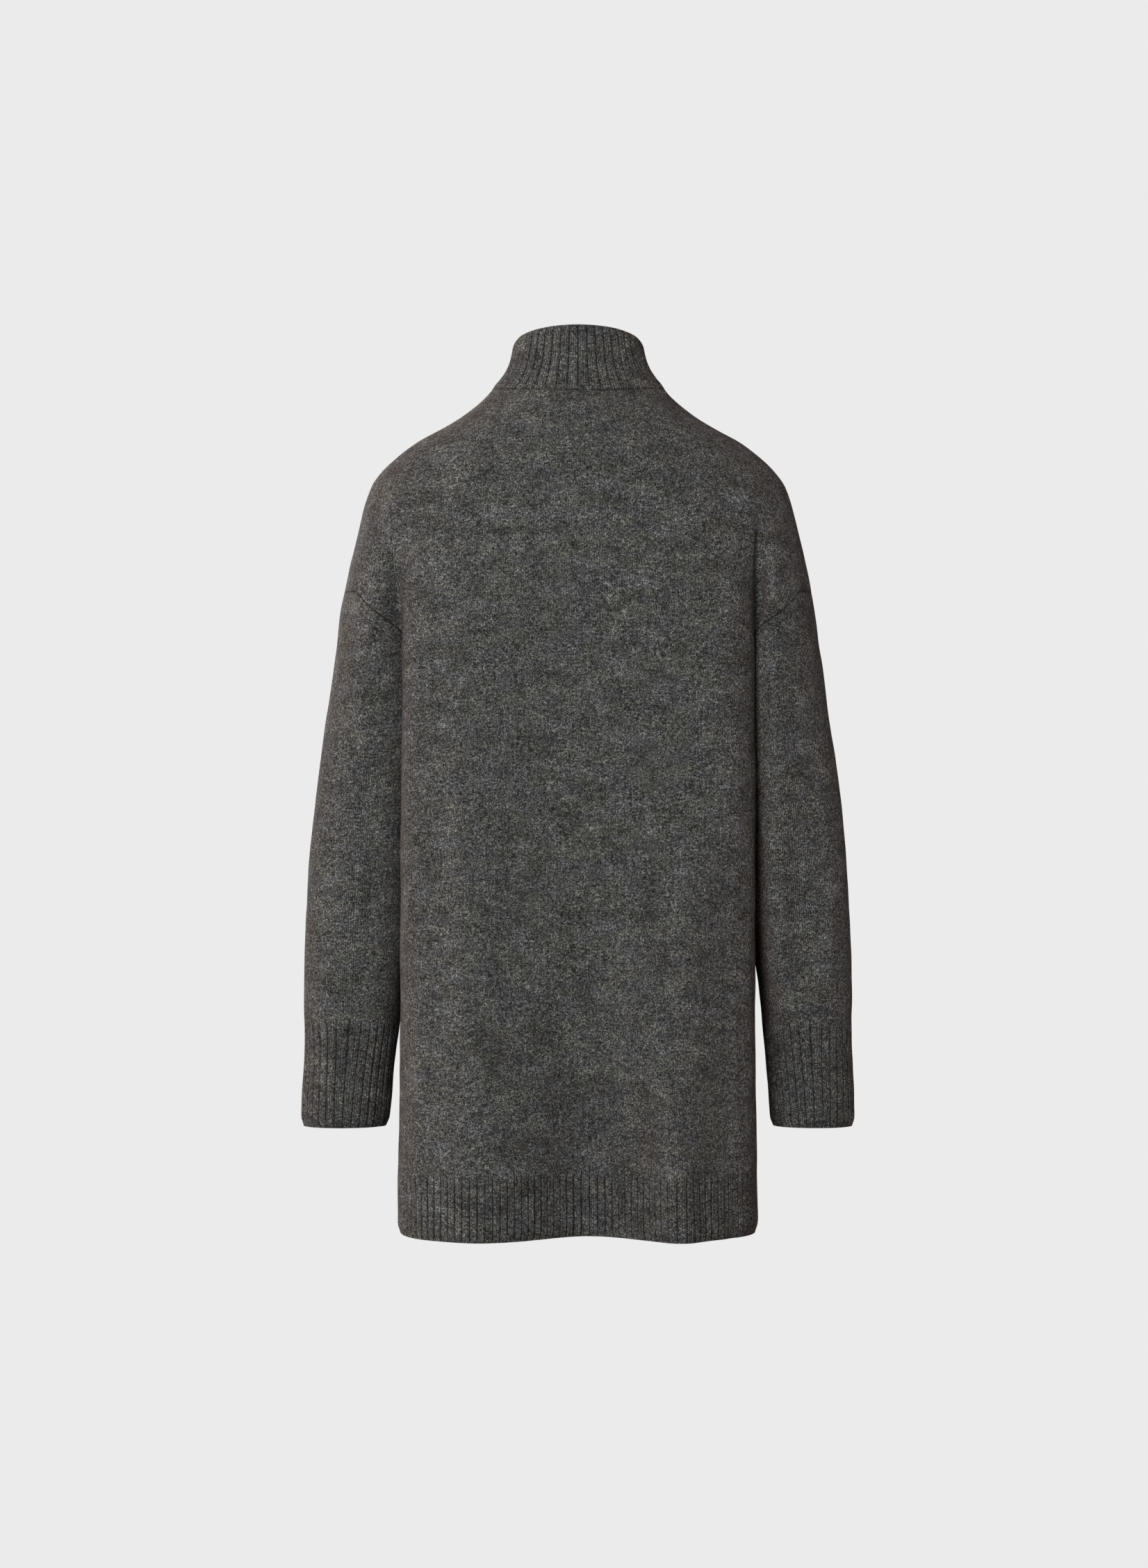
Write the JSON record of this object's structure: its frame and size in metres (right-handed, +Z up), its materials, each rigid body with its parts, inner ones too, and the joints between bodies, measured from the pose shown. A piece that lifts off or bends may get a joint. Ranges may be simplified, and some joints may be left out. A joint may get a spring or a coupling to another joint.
{
  "type": "knit dress",
  "caption": "Hollow knit tunic dress as worn, with a ribbed funnel collar, drop shoulders, long wide sleeves, deep ribbed cuffs and a ribbed hem.",
  "frame": {"origin": "middle of the neck opening, level with the foot of the collar at its sides, where the dress hangs from the wearer's neck and shoulders", "axes": "+Z up along the dress from hem to collar, +X to the dress's own left side, -Y out of its front and +Y out of its back"},
  "size_m": [0.5538, 0.2711, 0.8874],
  "materials": {
    "back": "soft wool stocking stitch knit, dark grey heather, matt",
    "front": "soft wool stocking stitch knit, dark grey heather, matt",
    "sleeve_left": "soft wool stocking stitch knit, dark grey heather, matt",
    "sleeve_right": "soft wool stocking stitch knit, dark grey heather, matt",
    "collar": "soft wool rib knit, dark grey heather, matt",
    "cuff_left": "soft wool rib knit, dark grey heather, matt",
    "cuff_right": "soft wool rib knit, dark grey heather, matt",
    "hem_rib_back": "soft wool rib knit, dark grey heather, matt",
    "hem_rib_front": "soft wool rib knit, dark grey heather, matt"
  },
  "bodies": {
    "root": {"back": "back", "front": "front", "sleeve_left": "sleeve_left", "sleeve_right": "sleeve_right", "collar": "collar", "cuff_left": "cuff_left", "cuff_right": "cuff_right", "hem_rib_back": "hem_rib_back", "hem_rib_front": "hem_rib_front"}
  },
  "joints": []
}
